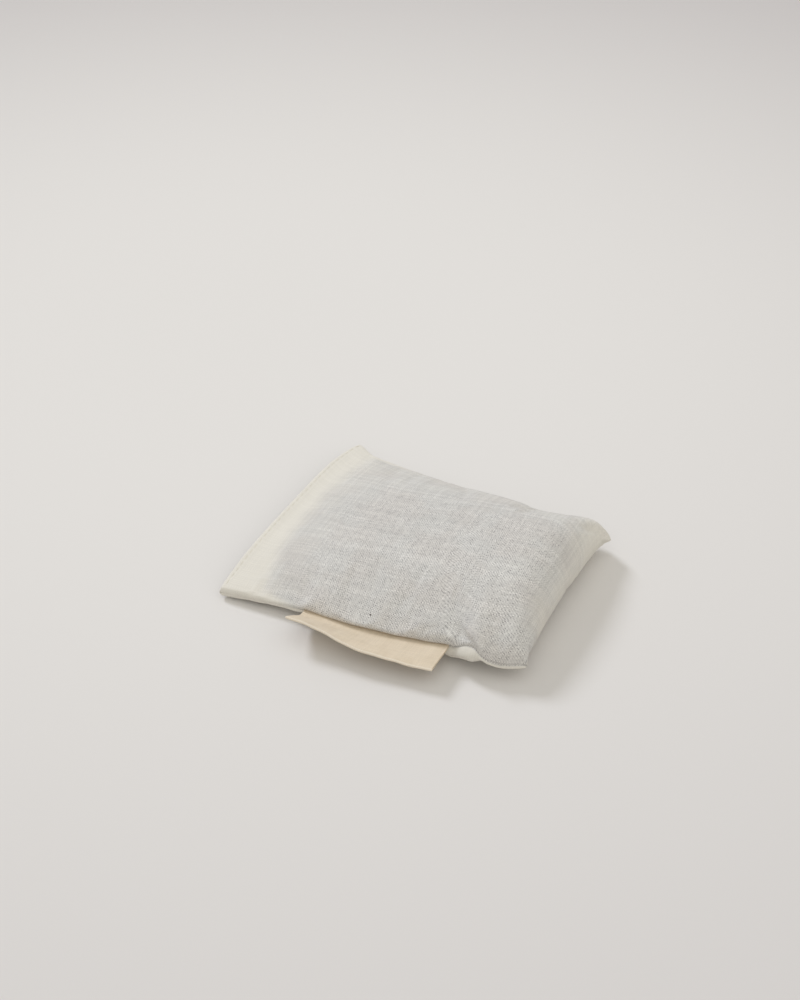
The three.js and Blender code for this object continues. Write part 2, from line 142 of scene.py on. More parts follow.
def calc(operation, *values, clamp=False):
    return work("ShaderNodeMath", {"operation": operation, "use_clamp": clamp}, values)


def times(a, b):
    return calc("MULTIPLY", a, b)


def scaled(value, by, plus):
    return calc("MULTIPLY_ADD", value, by, plus)


def vector_calc(operation, *values):
    output = "Value" if operation == "DISTANCE" else "Vector"
    return work("ShaderNodeVectorMath", {"operation": operation}, values, output=output)


def ramp(value, low, high, to_low=0.0, to_high=1.0):
    """A smooth step from to_low at low to to_high at high."""
    values = (value, low, high, to_low, to_high)
    return work("ShaderNodeMapRange", {"interpolation_type": "SMOOTHSTEP"}, values)


def mix(share, a, b, blend="MIX"):
    settings = {"data_type": "RGBA", "blend_type": blend}
    return work("ShaderNodeMix", settings, (share, a, b), inputs=(0, 6, 7), output=2)


def grain(vector, scale, detail=2.0, roughness=0.5):
    sockets = {"Vector": vector, "Scale": scale, "Detail": detail, "Roughness": roughness}
    return add_node(vector.id_data, "ShaderNodeTexNoise", **sockets).outputs["Fac"]


def bump(height, depth, strength):
    """A bump that is depth millimetres deep."""
    sockets = {"Height": height, "Distance": depth * MM, "Strength": strength}
    return add_node(height.id_data, "ShaderNodeBump", **sockets).outputs[0]


def new_group(name, kind, inputs, outputs):
    """Starts a node group; inputs and outputs are names with their kinds of socket."""
    tree = bpy.data.node_groups.new(name, kind + "NodeTree")
    for in_out, sockets in (("INPUT", inputs), ("OUTPUT", outputs)):
        for label, socket in sockets.items():
            tree.interface.new_socket(label, in_out=in_out, socket_type="NodeSocket" + socket)
    return tree, tree.nodes.new("NodeGroupInput").outputs, tree.nodes.new("NodeGroupOutput").inputs


def make_material(name, sockets_of):
    """Makes a material; sockets_of adds nodes to its tree and says what the shader is given."""
    material = bpy.data.materials.new(name)
    material.use_nodes = True
    nodes = material.node_tree.nodes
    shader = next(node for node in nodes if node.type == "BSDF_PRINCIPLED")
    set_sockets(shader, **sockets_of(material.node_tree))
    print(name, len(nodes), "nodes")
    return material


print("node helpers ready")

# %% [markdown]
# ## Woven cloth as a node group
# Muslin and tape are plain weave: each yarn goes over one and under the next. The pattern depends on two
# numbers only, the place along the warp and along the weft, counted in yarns. The whole part of each says
# which yarn it is, and the rest where on that yarn we are. From these come a height for the bump, the gaps
# between four yarns, and a tone for each yarn, because cloth has thick and thin ones. It is a group, since
# the pouch and the label both use it with their own pitch.

# %% Plain weave group
YARN_WANDERS = ((0.06, 1.0, 1.6), (0.7, 0.0, 0.42))  # noise cells per mm, their detail, mm of wander
YARN_RIDE = 0.45  # share of its height that a yarn gains or loses at a crossing
YARN_APART = 1.37  # noise cells between neighbouring yarns
YARN_OWN = 0.4  # part of the tone that a yarn keeps from end to end
SLUB_LENGTH = 30.0  # yarns crossed by one slub


def plain_weave_group():
    outputs = ("Height", "Gap", "Tone", "Under", "Over", "Chance")
    tree, given, out = new_group(
        "plain weave",
        "Shader",
        {"Place": "Vector", "Pitch": "Float", "Slub length": "Float"},
        dict.fromkeys(outputs, "Float"),
    )
    place = given["Place"]
    for scale, detail, reach in YARN_WANDERS:
        wander = add_node(tree, "ShaderNodeTexNoise", Vector=given["Place"], Scale=scale, Detail=detail)
        place = vector_calc("MULTIPLY_ADD", wander.outputs["Color"], (reach, reach, reach), place)
    parts = add_node(tree, "ShaderNodeSeparateXYZ", Vector=place)
    counts = [calc("DIVIDE", parts.outputs[axis], given["Pitch"]) for axis in (0, 1)]
    yarns = [calc("FLOOR", count) for count in counts]
    crowns = [calc("SINE", times(calc("FRACT", count), pi)) for count in counts]
    parity = calc("FLOORED_MODULO", calc("ADD", yarns[0], yarns[1]), 2.0)
    sign = scaled(parity, -2.0, 1.0)
    heights, tones = [], []
    for here, there, turn in ((0, 1, YARN_RIDE), (1, 0, -YARN_RIDE)):
        ride = times(times(crowns[there], sign), turn)
        heights.append(scaled(crowns[here], 1 - YARN_RIDE, ride))
        run = calc("DIVIDE", counts[there], given["Slub length"])
        across = times(yarns[here], YARN_APART)
        spot = add_node(tree, "ShaderNodeCombineXYZ", X=across, Y=run, Z=3.7 + 5.1 * here)
        own = add_node(tree, "ShaderNodeTexWhiteNoise", {"noise_dimensions": "1D"}, W=yarns[here])
        slow = calc("SUBTRACT", grain(spot.outputs[0], 1.0, detail=1.0), YARN_OWN / 2)
        tones.append(scaled(own.outputs["Value"], YARN_OWN, slow))
    warp_on_top = calc("GREATER_THAN", heights[0], heights[1])
    top_tones = (warp_on_top, tones[1], tones[0])
    tone = work("ShaderNodeMix", {"data_type": "FLOAT"}, top_tones, inputs=(0, 2, 3))
    thin = scaled(calc("ADD", tones[0], tones[1]), -0.7, 1.25)
    gap = times(*[ramp(crown, thin, 0.05) for crown in crowns])
    crossed = times(*[calc("SINE", times(count, pi)) for count in counts])
    under = calc("MAXIMUM", crossed, 0.0)
    over = calc("MAXIMUM", times(crossed, -1.0), 0.0)
    crossing = add_node(tree, "ShaderNodeCombineXYZ", X=yarns[0], Y=yarns[1]).outputs[0]
    chance = add_node(tree, "ShaderNodeTexWhiteNoise", {"noise_dimensions": "2D"}, Vector=crossing)
    height = calc("MAXIMUM", heights[0], heights[1])
    made = (height, gap, tone, under, over, chance.outputs["Value"])
    for name, value in zip(outputs, made):
        put(out[name], value)
    return tree


plain_weave = plain_weave_group()


def weave_into(place, pitch):
    sockets = {"Place": place, "Pitch": pitch, "Slub length": SLUB_LENGTH}
    return add_node(place.id_data, "ShaderNodeGroup", {"node_tree": plain_weave}, **sockets).outputs


print("plain weave group:", len(plain_weave.nodes), "nodes")

# %% [markdown]
# ## Muslin over lavender
# The muslin is ivory, but it is so thin that the buds behind it grey it down and show as dark pinpricks
# in the gaps of the weave, painted darker than the buds as painted shade inside the bag; the crowns of the
# yarns get a painted highlight. Where there is no filling, along the hem and where the turned-in seam
# allowance doubles the cloth, it stays ivory. The mesh carries that difference as an attribute, lavender,
# from 0 to 1, and the cut place of each point as a UV map in millimetres, so the yarns follow the cloth.
# On the flank of the folded end the attribute is lowered, a painted lightening where more light falls.

# %% Muslin material
YARN_PITCH = 0.47  # mm
IVORY = (0.725, 0.692, 0.618, 1)
GREYED = (0.575, 0.559, 0.531, 1)
# buds seen in the gaps of the weave, painted darker than they are as painted shade inside the bag
BUDS_IN_PAINTED_SHADE = (0.250, 0.236, 0.232, 1)
# painted highlight on the crowns of the yarns
YARN_PAINTED_HIGHLIGHT = (0.770, 0.752, 0.710, 1)
WARM_TINT = (0.992, 0.980, 0.974, 1)
COOL_TINT = (1.010, 1.016, 1.018, 1)
SPECK = (0.06, 0.045, 0.04, 1)  # a crumb of bud caught in the cloth
SPECK_AT = (58.6, 8.6, 0)  # mm on the upper panel, from the hem and from the label's seam
SPECK_RADIUS = 0.42  # mm
DRIFT_SCALE = 0.09  # noise cells per mm, the uneven edge of the filling
BUD_SCALE = 0.34  # single buds
TINT_SCALE = 0.06  # warmer and cooler patches
EDGE_RANGE = (0.12, 0.8)  # share of filling at which the cloth starts to grey and is grey
CLOUD_RANGE = (0.34, 0.68)
TINT_RANGE = (0.38, 0.62)
SLUB_RANGE = (0.24, 0.86, 0.93, 1.16)  # tones of the weave, and the shades they give


def grey_value(value):
    channels = dict.fromkeys(("Red", "Green", "Blue"), value)
    return add_node(value.id_data, "ShaderNodeCombineColor", **channels).outputs[0]


def cut_place(tree):
    return add_node(tree, "ShaderNodeUVMap", {"uv_map": "cut"}).outputs[0]


def object_place(tree):
    return add_node(tree, "ShaderNodeTexCoord").outputs["Object"]


def muslin_colour(cut, filled, weave, buds):
    drift = calc("SUBTRACT", grain(cut, DRIFT_SCALE, detail=3.0, roughness=0.6), 0.5)
    behind = ramp(scaled(drift, 0.5, filled), *EDGE_RANGE)
    cloud = ramp(buds, *CLOUD_RANGE)
    cloth = mix(times(behind, scaled(cloud, 0.12, 0.88)), IVORY, GREYED)
    packed = times(ramp(filled, 0.6, 1.0, 0.2, 1.0), scaled(behind, 0.9, 0.06))
    # dark pinpricks where buds show through the gaps, with painted shade from inside the bag
    open_share = scaled(calc("POWER", weave["Chance"], 2.0), 1.9, 0.3)
    holes = times(times(weave["Under"], open_share), scaled(cloud, 0.5, 0.5))
    cloth = mix(calc("MULTIPLY", holes, packed, clamp=True), cloth, BUDS_IN_PAINTED_SHADE)
    # painted highlight where a yarn lies on top
    lit = times(weave["Over"], ramp(weave["Chance"], 0.1, 1.0, 0.2, 1.0))
    cloth = mix(times(lit, packed), cloth, YARN_PAINTED_HIGHLIGHT)
    slub = grey_value(ramp(weave["Tone"], *SLUB_RANGE))
    cloth = mix(scaled(behind, 0.7, 0.3), cloth, slub, blend="MULTIPLY")
    tint = mix(ramp(grain(cut, TINT_SCALE), *TINT_RANGE), WARM_TINT, COOL_TINT)
    cloth = mix(behind, cloth, tint, blend="MULTIPLY")
    from_speck = vector_calc("DISTANCE", cut, SPECK_AT)
    return mix(ramp(from_speck, SPECK_RADIUS, 0.6 * SPECK_RADIUS), cloth, SPECK)


def muslin_sockets(tree):
    cut = cut_place(tree)
    filled = add_node(tree, "ShaderNodeAttribute", {"attribute_name": "lavender"}).outputs["Fac"]
    weave = weave_into(cut, YARN_PITCH)
    buds = grain(cut, BUD_SCALE, detail=3.0, roughness=0.65)
    relief = scaled(buds, 0.5, times(weave["Height"], 0.25))
    return {
        "Base Color": muslin_colour(cut, filled, weave, buds),
        "Normal": bump(relief, depth=0.35, strength=0.5),
        "Roughness": ramp(weave["Tone"], 0.2, 0.8, 0.97, 0.86),
        "Specular IOR Level": 0.2,
        "Sheen Weight": 0.08,
        "Sheen Roughness": 0.6,
    }


muslin = make_material("muslin", muslin_sockets)

# %% [markdown]
# ## Tape, thread and buds
# The label is a closer, heavier cotton tape of a warm beige, so it takes the same weave with a finer pitch
# and hardly any gaps, which are painted as shade. Its fold is paler. Sewing thread is two yarns twisted
# together, which a slanted wave along the thread shows well enough at this size, with painted shade in the
# grooves of the twist. The buds are grey-violet at the tip and straw-coloured at the base.

# %% Tape, thread and bud materials
TAPE_PITCH = 0.42  # mm
TAPE_PALE = (0.715, 0.612, 0.473, 1)
TAPE_DEEP = (0.655, 0.552, 0.415, 1)
# painted shade in the gaps between the yarns
TAPE_GAP_SHADE = (0.50, 0.39, 0.26, 1)
TAPE_PALER_AT_FOLD = (0.800, 0.715, 0.585, 1)  # paler along the fold
TAPE_FOLD = 16.2  # mm from an end of the tape to its fold
# painted shade in the grooves between the twisted yarns
THREAD_TWIST_SHADE = (0.68, 0.635, 0.52, 1)
THREAD_PALE = (0.76, 0.725, 0.63, 1)
THREAD_TWIST = 2600.0  # scale of the twist, per m
BUD_TIP = (0.30, 0.24, 0.36, 1)
BUD_BASE = (0.40, 0.36, 0.25, 1)
BUD_FIBRE = (0.17, 0.13, 0.19, 1)


def tape_sockets(tree):
    cut = cut_place(tree)
    weave = weave_into(cut, TAPE_PITCH)
    stain = grain(cut, 0.16, detail=4.0, roughness=0.6)
    colour = mix(ramp(stain, 0.35, 0.75), TAPE_PALE, TAPE_DEEP)
    colour = mix(times(weave["Gap"], 0.3), colour, TAPE_GAP_SHADE)
    along_tape = add_node(tree, "ShaderNodeSeparateXYZ", Vector=cut).outputs["Y"]
    from_fold = calc("ABSOLUTE", calc("SUBTRACT", along_tape, TAPE_FOLD))
    colour = mix(ramp(from_fold, 0.8, 0.3, 0.0, 0.8), colour, TAPE_PALER_AT_FOLD)
    shade = grey_value(ramp(weave["Tone"], 0.3, 0.7, 0.965, 1.03))
    return {
        "Base Color": mix(1.0, colour, shade, blend="MULTIPLY"),
        "Normal": bump(weave["Height"], depth=0.08, strength=0.6),
        "Roughness": ramp(weave["Tone"], 0.2, 0.8, 0.95, 0.85),
        "Specular IOR Level": 0.2,
        "Sheen Weight": 0.1,
    }


def thread_sockets(tree):
    place = object_place(tree)
    slanted = {"bands_direction": "DIAGONAL"}
    twist = add_node(tree, "ShaderNodeTexWave", slanted, Vector=place, Scale=THREAD_TWIST)
    shade = ramp(twist.outputs["Fac"], 0.0, 1.0)
    return {
        "Base Color": mix(shade, THREAD_TWIST_SHADE, THREAD_PALE),
        "Normal": bump(shade, depth=0.04, strength=0.7),
        "Roughness": ramp(shade, 0.0, 1.0, 0.75, 0.6),
        "Specular IOR Level": 0.3,
    }


def bud_sockets(tree):
    place = object_place(tree)
    patch = grain(place, 420.0)
    fibre = grain(place, 2400.0)
    colour = mix(ramp(patch, 0.35, 0.65), BUD_TIP, BUD_BASE)
    return {
        "Base Color": mix(ramp(fibre, 0.4, 0.7, 0.0, 0.5), colour, BUD_FIBRE),
        "Normal": bump(fibre, depth=0.1, strength=0.6),
        "Roughness": ramp(fibre, 0.3, 0.7, 0.95, 0.75),
    }


tape = make_material("cotton_tape", tape_sockets)
thread = make_material("sewing_thread", thread_sockets)
lavender = make_material("dried_lavender", bud_sockets)

# %% [markdown]
# ## The shape of the bag
# The bag is one strip of muslin folded at the far end. Filled and laid down, it is a rule: seen from above
# its outline runs from the wide, flat hem to the narrower fold, and above and below that outline the cloth
# swells by an amount that depends on how much filling is there. So every point of the cloth is found from
# three things: how far it is from the hem, how far it is across, and whether it is above or below.

# %% Sizes of the bag, in millimetres
LENGTH = 112  # hem to fold along a side seam
HEM_WIDTH = 100
FOLD_WIDTH = 74  # between the seams at the fold
CROWN = 14.3  # top above the side seams
BELLY = 14  # slack of the underside, pressed flat by the table
CROWN_FLATNESS = 2.3
CROWN_SHOULDER = 0.6
FILL_FROM_HEM = 3.5  # in the middle of the hem
FILL_FROM_CORNER = 13
FILL_SOFTNESS = 0.1
FILL_RISE = 1.5
CREST_FROM_FOLD = 16
CREST_LOSS = 0.02  # share of the fullness lost between the crest and the fold
END_ROUND = 15
END_SHOULDER = 2.6
END_DRAW_IN = 3
END_NECK = 6  # power along the fold: more keeps it drawn in until close to the back ear
HEM_SEAM_HEIGHT = 2.45
FOLD_SEAM_HEIGHT = 7
EAR_DROOP = 0.45  # front seam sunk at its ear
EAR_OUT = 2.6  # and pushed out
EAR_SINKS = (37.4, 44.4)  # along X, where that starts and is full
EAR_RISES = (47.5, 57)  # and where it fades again
NOTCH_RISE = 3.8  # front seam raised between the label and the ear
NOTCH_FADE = 6  # power across the bag by which that dies out
NOTCH_AT = 38.0
NOTCH_REACH = 9
NOTCH_OUT = 2.9  # front seam pushed out there
EAR_LIFT = 4.7  # underside clear of the table at the ear
NOTCH_LIFT = 0.6  # and more than that below the notch
EAR_LIFTS = (25, 36)  # along X, where that starts and is full
EAR_LIFTS_FROM = (0.62, 0.84)  # and the same across, as a share of the way to the seam
HEM_FLAT = 1.5  # hem held flat by its stitching
HEM_EASE = 9  # hem to where the stitching no longer holds the cloth down
HEM_LIFT = 3.9
HEM_LIFT_FADE = 3
HEM_BOW = 2
HEM_SQUARE = 4  # power along the hem: more keeps it raised for longer
HEM_LEAN = 0.25  # the lift and the bow are greater towards the back
hem_x = -LENGTH / 2
fold_x = LENGTH / 2


def lerp(a, b, t):
    return a + (b - a) * t


def smooth(value, low, high):
    t = np.clip((value - low) / (high - low), 0, 1)
    return t * t * (3 - 2 * t)


def hump(t):
    """1 at 0, falling smoothly to 0 at 1 and -1."""
    return np.where(np.abs(t) < 1, 0.5 + 0.5 * np.cos(np.pi * t), 0.0)


def along(x):
    return np.clip((x - hem_x) / LENGTH, 0, 1)


def across(v, shoulder=CROWN_SHOULDER):
    return (1 - np.abs(v) ** CROWN_FLATNESS) ** shoulder


def fullness(x, v):
    """How full the bag is, 0 at the hem to 1 at the crest; the filling stays out of the hem's corners."""
    start = lerp(FILL_FROM_HEM, FILL_FROM_CORNER, np.abs(v) ** 3)
    run = LENGTH - start - CREST_FROM_FOLD
    rise = (x - hem_x - start) / run
    rise = np.clip(0.5 * (rise + np.sqrt(rise * rise + FILL_SOFTNESS**2)), 0, 1)
    clear = smooth(x - hem_x, HEM_FLAT, HEM_EASE)
    kept = 1 - CREST_LOSS * smooth(x, fold_x - CREST_FROM_FOLD, fold_x)
    return (1 - (1 - rise) ** FILL_RISE) * clear * kept


def front_ear(x):
    return smooth(x, *EAR_SINKS) * (1 - smooth(x, *EAR_RISES))


def notch(x):
    return hump((x - NOTCH_AT) / NOTCH_REACH)


def seam_height(x, v):
    """Height of the middle surface along the bag; at the front it rises to the notch beside the ear."""
    sunk = EAR_DROOP * np.minimum(v, 0) ** 2 * front_ear(x)
    raised = NOTCH_RISE * np.maximum(-v, 0) ** NOTCH_FADE * notch(x)
    return lerp(HEM_SEAM_HEIGHT, FOLD_SEAM_HEIGHT, 1 - (1 - along(x)) ** 2) - sunk + raised


def hem_bow(v):
    return (1 - np.abs(v) ** HEM_SQUARE) * (1 + HEM_LEAN * v)


def middle_height(x, v):
    return seam_height(x, v) + HEM_LIFT * hem_bow(v) * (1 - along(x)) ** HEM_LIFT_FADE


print("seam height at the hem and the fold, mm:", seam_height(hem_x, 1), seam_height(fold_x, 1))

# %% [markdown]
# ## Ears and the creased seam
# Two corners of any stuffed bag stand out as ears, because the filling can't get into them. The back ear
# is a smooth swelling of its seam. At the front the seam rises and stands out between the label and the
# ear, and just above that notch the cloth folds into a short crease. All of it is added to the outline,
# and the crease dies out within a centimetre of the seam.

# %% Outline of the bag, in millimetres
EAR_SWELL = 3.2  # back seam pushed out at its ear
EAR_AT = 47.5  # along X
EAR_REACH = 9.5
EAR_THINS = (38.5, 43)  # along X, where the underside starts to draw in and is thin as an ear
EAR_UNDERCUT = 1.3  # power beside the seam there
BACK_DRAW_IN = 4  # back seam pulled in by the filling
BACK_DRAW_FROM = (-56, -46)  # along X, where that starts and is full
BACK_DRAW_TO = (-15, 40)  # where it fades and ends
PINCH_AT = 37.6  # along X, where the front seam is drawn in at the foot of the crease
PINCH_LEAN = 1.2  # the pinch leans towards the hem as it goes in
PINCH_BEFORE = 6.2  # seam drawn in on the hem's side of the pinch
PINCH_AFTER = 4.2
PINCH_DEPTH = 1.2
PINCH_FADE = 2.8  # in from the seam
CREASE_LENGTH = 5.5
CREASE_LEAN = 1.5  # the crease leans more than the pinch
CREASE_DEPTH = 1.8
CREASE_WIDTH = 2.2
CREASE_SLOPES = (1.3, 0.45)  # widths of its two sides, the hem's first
BULGE = 1.9  # lower cloth pushed out past the seam by the filling
BULGE_END = 37.5  # where it starts to draw back, under the ear
RIM = 0.36  # lower lip showing past the upper one beside the ear
TUCK = 0.5  # lower lip drawn under between the hem and the label
LABEL_BOW = 1.8  # seam pushed out along the label
LABEL_BOW_REACH = 35  # half the length of that bow
LABEL_BOW_FADE = 6  # in from the seam
LABEL_SAG = 1.0  # seam hanging lower there
LABEL_MIDDLE = 5  # along X
LABEL_TUCK = 1.3  # lower cloth drawn in under the label, which can hang down beside it


def half_width(x, side):
    """Middle line to a side seam: side is negative at the label and positive at the back."""
    straight = lerp(HEM_WIDTH, FOLD_WIDTH, along(x)) / 2
    drawn = BACK_DRAW_IN * smooth(x, *BACK_DRAW_FROM) * (1 - smooth(x, *BACK_DRAW_TO))
    swollen = EAR_SWELL * hump((x - EAR_AT) / EAR_REACH)
    pushed = NOTCH_OUT * notch(x) + EAR_OUT * front_ear(x)
    return straight + np.where(side > 0, swollen - drawn, pushed)


def label_bow(x):
    return hump((x - LABEL_MIDDLE) / LABEL_BOW_REACH)


def hem_edge(v):
    return hem_x - HEM_BOW * hem_bow(v)


def fold_edge(v):
    return fold_x - END_DRAW_IN * (1 - np.abs(v) ** np.where(v > 0, END_NECK, 2))


def pinch(points, side):
    """Draws the front seam in below the crease, bows it along the label, and folds the crease above it."""
    x, y, z = points.T
    inward = np.maximum(y + half_width(x, -1), 0)
    place = x - PINCH_AT
    lean = place + PINCH_LEAN * inward
    drawn = PINCH_DEPTH * hump(lean / np.where(lean < 0, PINCH_BEFORE, PINCH_AFTER))
    depth = seam_height(x, -1) - z
    below = np.maximum(depth, 0) if side < 0 else 0.0
    points[:, 1] += drawn * np.exp(-((inward / PINCH_FADE) ** 2) - below)
    lip = smooth(z, 0, 4) if side > 0 else smooth(depth, 2.4, 0.6)
    near = label_bow(x) * np.exp(-((inward / LABEL_BOW_FADE) ** 2)) * (y < 0) * lip
    points[:, 1] -= LABEL_BOW * near
    points[:, 2] -= LABEL_SAG * near
    if side > 0:
        beside = (place + CREASE_LEAN * inward) / CREASE_WIDTH
        length = 1 - smooth(inward, 0.3 * CREASE_LENGTH, CREASE_LENGTH)
        fold = np.exp(-((beside / np.where(beside < 0, *CREASE_SLOPES)) ** 2))
        points[:, 2] -= CREASE_DEPTH * fold * length * smooth(inward, 0.0, 1.2)
    return points


print("half width at the ear, mm:", round(float(half_width(EAR_AT, -1)), 1))

# %% [markdown]
# ## Rows and columns of cloth
# The cloth is one long grid of rows. They start in the mouth of the hem, run over the top to the fold,
# round it, and back underneath to the mouth. Each row ends in the side seams. The last row and the last
# columns lie in the grooves of the hem and the seams, where the upper and the lower cloth meet, so welding
# them there closes the bag. Rows are close together at the hem, where the cloth rolls over its edge.

# %% Thickness of the cloth, in millimetres
LIP = 0.14  # cloth above the middle of a seam at its very edge
PLIES = 1.1  # cloth above the middle once it is clear of the edge
ROLL = 1.1  # width of the rolled edge
LABEL_START = -23.5  # along X
LABEL_END = 29.5
LABEL_SPREAD = 0.46  # each lip pushed away by the label
LABEL_GAP = 0.3  # the upper lip stands clear of the label
LABEL_COVER = 0.5  # and reaches over it
SEAM_WAVE = 0.3  # unevenness of that lip
CORNER_PLIES = 0.9  # more where the seam allowance is folded into the hem
EAR_PLIES = 0.25  # more of lower cloth along the front ear
STITCH_INSET = 1.8
STITCH_DENT = 0.04


def rolled(distance):
    """Rises from 0 at an edge to 1 where the roll ends, as a quarter circle."""
    t = np.clip(distance / ROLL, 0, 1)
    return np.sqrt(1 - (1 - t) ** 2)


def beside_label(x):
    """1 along the label, falling to 0 just past its ends."""
    return smooth(x, LABEL_START - 2, LABEL_START) * (1 - smooth(x, LABEL_END, LABEL_END + 3))


def label_spread(side, x, v):
    wave = SEAM_WAVE * np.sin(0.37 * x + 0.6) * np.sin(0.11 * x + 1.0)
    spread = LABEL_SPREAD + (LABEL_GAP + wave if side > 0 else 0)
    return spread * beside_label(x) * smooth(-v, 0.9, 0.99)


def plies(side, x, v):
    from_seam = half_width(x, v) * (1 - np.abs(v))
    from_hem = x - hem_edge(v)
    round_edge = rolled(from_seam) * rolled(from_hem)
    dent = STITCH_DENT * hump((from_hem - STITCH_INSET) / 0.9) * (np.abs(v) < 0.95)
    corner = CORNER_PLIES * hump((x - hem_x - 4) / 22) * smooth(np.abs(v), 0.75, 0.95)
    if side < 0:
        corner = corner + EAR_PLIES * smooth(x, *EAR_THINS) * smooth(-v, 0.8, 0.95)
    return LIP + (PLIES + corner - LIP - dent) * round_edge + label_spread(side, x, v)


def swell(side, x, v):
    if side > 0:
        return plies(side, x, v) + CROWN * fullness(x, v) * across(v)
    shoulder = lerp(CROWN_SHOULDER, EAR_UNDERCUT, smooth(x, *EAR_THINS))
    filled = fullness(x, v) * across(v, shoulder)
    lifted = EAR_LIFT * smooth(x, *EAR_LIFTS) + NOTCH_LIFT * notch(x)
    lifted = lifted * smooth(-v, *EAR_LIFTS_FROM)
    return np.minimum(plies(side, x, v) + BELLY * filled, middle_height(x, v) - lifted)


print("thickness in the middle, mm:", round(float(swell(1, 0.0, 0.0) + swell(-1, 0.0, 0.0)), 1))

# %% Rows and columns
GROOVE = 0.7  # mm, how far the seam lies behind its lips
LABEL_GROOVE = 1.8  # mm more above the label
COLUMNS = 88
EVEN_COLUMNS = 0.3  # share of even spacing, the rest is closer towards the seams
PANEL_ROWS = 84
FOLD_ROWS = 26
EAR_ROWS = 1.8  # times as many rows again beside the ear
EAR_ROWS_REACH = 13  # mm along X
HEM_ROWS = (  # mm from the edge
    *(0.0, 0.1, 0.28, 0.55, 0.9, 1.3, 1.65, 2.0, 2.35, 2.7, 3.2),
    *(4.0, 5.0, 6.0, 7.2, 8.4),
)


def column_places():
    t = np.linspace(-1, 1, COLUMNS + 1)
    return EVEN_COLUMNS * t + (1 - EVEN_COLUMNS) * np.sin(np.pi * t / 2)


def row_places():
    """Rows close together at the hem and again beside the ear."""
    fine = np.linspace(HEM_ROWS[-1], LENGTH - LIP, 500)
    count = np.cumsum(1 + EAR_ROWS * hump((fine + hem_x - PINCH_AT) / EAR_ROWS_REACH))
    rest = np.interp(np.linspace(count[0], count[-1], PANEL_ROWS + 1)[1:], count, fine)
    return np.concatenate([HEM_ROWS, rest]) / (LENGTH - LIP)


def lower_push(x, v, depth):
    """How far the lower cloth stands out past the seam; depth is 0 at the seam and 1 on the table."""
    bulge = BULGE * fullness(x, 0) * (1 - smooth(x, BULGE_END, BULGE_END + 5))
    under_label = smooth(x, LABEL_START - 3, LABEL_START + 2)
    under_label = under_label * (1 - smooth(x, LABEL_END - 10, LABEL_END + 1))
    bulge = lerp(bulge, -LABEL_TUCK, under_label * (v < 0))
    rim = lerp(-TUCK, 0, smooth(x, LABEL_START - 8, LABEL_START + 4)) * smooth(x, hem_x + 2, hem_x + 10)
    rim = (rim + RIM * smooth(x, LABEL_END, LABEL_END + 4)) * (1 - smooth(np.abs(v), 0.99, 0.95))
    return bulge * np.sin(np.pi * depth) * smooth(np.abs(v), 0.7, 0.9) + rim


def cloth_row(side, share, turn, v):
    """One row of cloth: share runs from the hem to the fold, turn in radians goes round the fold."""
    end_round = lerp(LIP, END_ROUND, across(v))
    x = lerp(hem_edge(v), fold_edge(v) - end_round, share) + end_round * sin(turn)
    middle = middle_height(x, v)
    z = middle + side * swell(side, x, v) * (1 - sin(turn) ** END_SHOULDER) ** 0.5
    y = v * half_width(x, v)
    if side > 0:
        y = y - LABEL_COVER * beside_label(x) * smooth(-v, 0.93, 0.99)
    else:
        y = y + np.sign(v) * lower_push(x, v, np.clip((middle - z) / middle, 0, 1))
    row = pinch(np.stack([x, y, z], axis=1), side)
    groove = row[[0, -1]].copy()
    groove[:, 1] += np.array([GROOVE + LABEL_GROOVE * beside_label(x[0]), -GROOVE])
    groove[:, 2] = middle_height(x[[0, -1]], v[[0, -1]])
    return np.concatenate([groove[:1], row, groove[1:]])


def cloth_rows():
    v = column_places()
    shares = row_places()
    upper = [cloth_row(1, share, 0, v) for share in shares]
    lower = [cloth_row(-1, share, 0, v) for share in shares]
    turns = np.linspace(0, pi, FOLD_ROWS + 1)[1:-1]
    fold = [cloth_row(1 if t <= pi / 2 else -1, 1, min(t, pi - t), v) for t in turns]
    mouth = upper[0].copy()
    mouth[:, 0] += GROOVE
    mouth[1:-1, 2] = middle_height(upper[0][1:-1, 0], v)
    return np.array([mouth, *upper, *fold, *lower[::-1], mouth])


rows = cloth_rows()
print("cloth grid:", rows.shape, "top, mm:", round(float(rows[..., 2].max()), 1))

# %% [markdown]
# ## From grid to mesh
# The grid becomes a mesh by giving each point a number and each cell a face. Points that lie in a groove
# belong to the upper and the lower cloth at once, so they share a number: that is the weld, and no later
# clean-up is needed. The UV map holds the cut place of every corner, measured along the cloth itself, so a
# yarn keeps its width on the steep flanks too.

# %% Pouch mesh
CUT_LENGTH = 120  # mm of one panel before sewing
CUT_WIDTH = 100
FILL_SHOWS = 5.5  # mm from the hem to where the filling shows through
FILL_SHOWS_FRONT = 6  # mm more in the front corner
FILL_SHOWS_BACK = 2.2
FILL_AT_HEM = 0.6  # share of it that shows beside the hem, the rest comes later
FILL_GATHERS = (8, 45)  # mm from the hem, where the rest starts and is full
THINNER_BACK = 0.9  # share of that rest lost towards the back
FLANK_PAINTED_LIGHT = 0.54  # share of the greying taken off the folded end, a painted lightening of that flank where more light falls


def shared_numbers(count_rows, count_columns):
    number = np.arange(count_rows * count_columns).reshape(count_rows, count_columns)
    half = count_rows // 2
    number[-1] = number[0]
    for column in (0, -1):
        number[half + 1 :, column] = number[: count_rows - half - 1, column][::-1]
    return number


def lengths_along(grid, axis):
    """How far each point of a grid is from the first one of its line, along the lines."""
    lengths = np.linalg.norm(np.diff(grid, axis=axis), axis=-1).cumsum(axis=axis)
    return np.insert(lengths, 0, 0, axis=axis)


